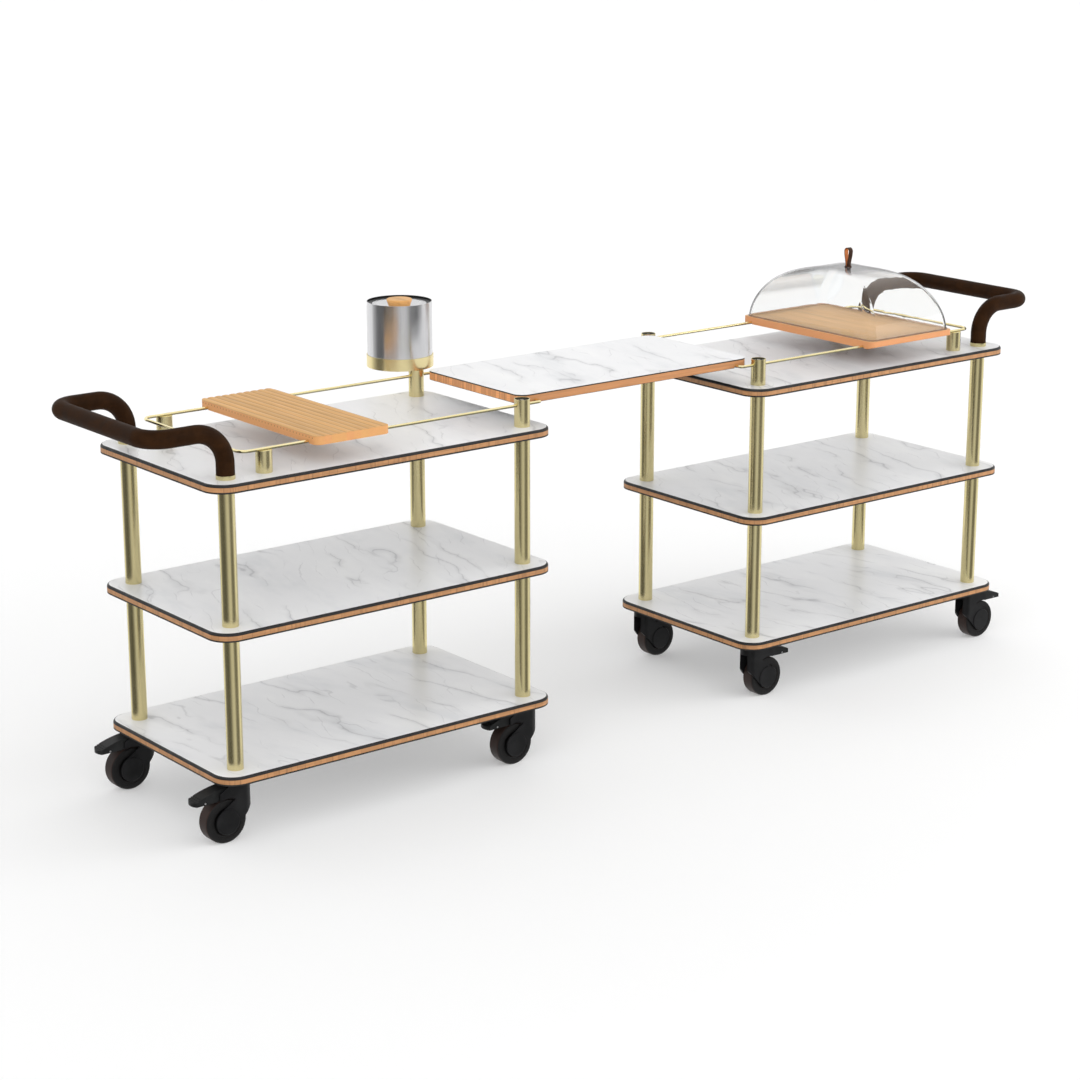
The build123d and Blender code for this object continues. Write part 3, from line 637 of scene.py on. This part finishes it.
photo_width = 1080
focal_pixels = 2575.6
sensor_width = 36.0
camera_tilt = 15.559
camera_turn = math.radians(38.244)
facing_camera = Vector((-math.sin(camera_turn), -math.cos(camera_turn), 0))
camera_right = Vector((math.cos(camera_turn), -math.sin(camera_turn), 0))
camera = bpy.data.objects.new("camera", bpy.data.cameras.new("camera"))
camera.data.sensor_width = sensor_width
camera.data.lens = focal_pixels / photo_width * sensor_width
camera.location = (-4.3527, -5.3077, 2.3917)
camera.rotation_euler = (math.radians(90 - camera_tilt), 0, -camera_turn)
camera.data.clip_end = 100
scene.collection.objects.link(camera)
scene.camera = camera

white = (1.0, 1.0, 1.0)


def studio(name, mesh):
    """Put a studio mesh into the scene, on no body, and start its material."""
    thing = bpy.data.objects.new(name, mesh)
    scene.collection.objects.link(thing)
    material = bpy.data.materials.new(name)
    material.use_nodes = True
    mesh.materials.append(material)
    return thing, Graph(material.node_tree)


def seen_directly(g, *kinds):
    """1 where a ray comes straight from the camera or from one of the given kinds of surface."""
    rays = g.add("ShaderNodeLightPath").outputs
    seen = rays["Is Camera Ray"]
    for kind in kinds:
        seen = g.math("MAXIMUM", seen, rays[kind])
    return seen


# A pale floor that holds the shadow, lifted towards white where it is seen
floor_half = 30
floor_grey = (0.80, 0.80, 0.80)
floor_glow = 0.22
floor_mesh = bpy.data.meshes.new("floor")
floor_mesh.from_pydata([(-floor_half, -floor_half, 0), (floor_half, -floor_half, 0),
                        (floor_half, floor_half, 0), (-floor_half, floor_half, 0)],
                       [], [(0, 1, 2, 3)])
floor, g = studio("floor", floor_mesh)
floor.visible_glossy = False
seen = seen_directly(g, "Is Transmission Ray")
matt = g.add("ShaderNodeBsdfDiffuse")
g.link(g.mix(seen, floor_grey, white), matt.inputs["Color"])
blend = g.add("ShaderNodeMixShader")
g.link(g.math("MULTIPLY", seen, floor_glow), blend.inputs[0])
g.link(matt.outputs[0], blend.inputs[1])
g.link(g.add("ShaderNodeEmission").outputs[0], blend.inputs[2])
g.link(blend.outputs[0], g.add("ShaderNodeOutputMaterial").inputs["Surface"])

# A curved screen on the camera's side, grey with two dark flags, which only metal and gloss
# mirror: its tones by the bearing in degrees from the camera, to the right
screen_tones = ((-112, 1.0), (-100, 0.55), (-82, 0.16), (-40, 0.10), (-22, 0.20), (-4, 0.55),
                (8, 0.66), (24, 0.66), (40, 0.22), (66, 0.14), (84, 0.45), (98, 1.0))
screen_radius = 12.0
screen_foot, screen_head = -9.0, 3.0
sheet = bmesh.new()
shade = sheet.verts.layers.float_color.new("shade")
edge = None
for degrees, tone in screen_tones:
    bearing = math.radians(degrees)
    toward = facing_camera * math.cos(bearing) + camera_right * math.sin(bearing)
    pair = [sheet.verts.new(screen_radius * toward + Vector((0, 0, z)))
            for z in (screen_foot, screen_head)]
    for vert in pair:
        vert[shade] = (tone, tone, tone, 1)
    if edge:
        sheet.faces.new((edge[0], pair[0], pair[1], edge[1]))
    edge = pair
screen_mesh = bpy.data.meshes.new("screen")
sheet.to_mesh(screen_mesh)
sheet.free()
screen, g = studio("screen", screen_mesh)
for ray in ("camera", "diffuse", "transmission", "volume_scatter", "shadow"):
    setattr(screen, f"visible_{ray}", False)
glow = g.add("ShaderNodeEmission")
tones = g.add("ShaderNodeAttribute", attribute_name="shade")
g.link(tones.outputs["Color"], glow.inputs["Color"])
g.link(glow.outputs[0], g.add("ShaderNodeOutputMaterial").inputs["Surface"])


def lamp(name, kind, energy, aim):
    """Add a lamp that shines along aim, and that metal and gloss don't mirror."""
    light = bpy.data.lights.new(name, kind)
    light.energy = energy
    thing = bpy.data.objects.new(name, light)
    thing.rotation_euler = Vector(aim).to_track_quat("-Z", "Y").to_euler()
    thing.visible_glossy = False
    scene.collection.objects.link(thing)
    return thing


fill = lamp("fill", "AREA", 45, (-3.0, 2.8, -0.9))
fill.location = (4.0, -2.8, 1.3)
fill.data.size = 2.4
key = lamp("key", "SUN", 0.45, (0.45, 0.35, -1.0))
key.data.angle = math.radians(50)

# Soft light from all sides, most of it low down and a little more from the right, and a white
# background for what is seen, mirrored or seen through
right_gain = 0.22
world = bpy.data.worlds.new("studio")
world.use_nodes = True
scene.world = world
g = Graph(world.node_tree)
direction = g.coordinates["Generated"]
rise = g.math("MULTIPLY_ADD", g.axis("Z", direction), 0.5, 0.5)
lit = g.ramp(rise, (0.0, 1.0), (0.49, 1.0), (0.51, 3.20), (0.60, 2.70), (0.72, 1.70),
             (0.84, 0.42), (1.0, 0.33))
to_right = g.axis("X", g.rotated(direction, math.degrees(camera_turn)))
lit = g.math("MULTIPLY", lit, g.math("MULTIPLY_ADD", to_right, right_gain, 1.0))
backdrop = g.add("ShaderNodeBackground")
g.link(g.mix(seen_directly(g, "Is Glossy Ray", "Is Transmission Ray"), lit, white),
       backdrop.inputs["Color"])
g.link(backdrop.outputs[0], g.add("ShaderNodeOutputWorld").inputs["Surface"])

scene.view_settings.view_transform = "Standard"
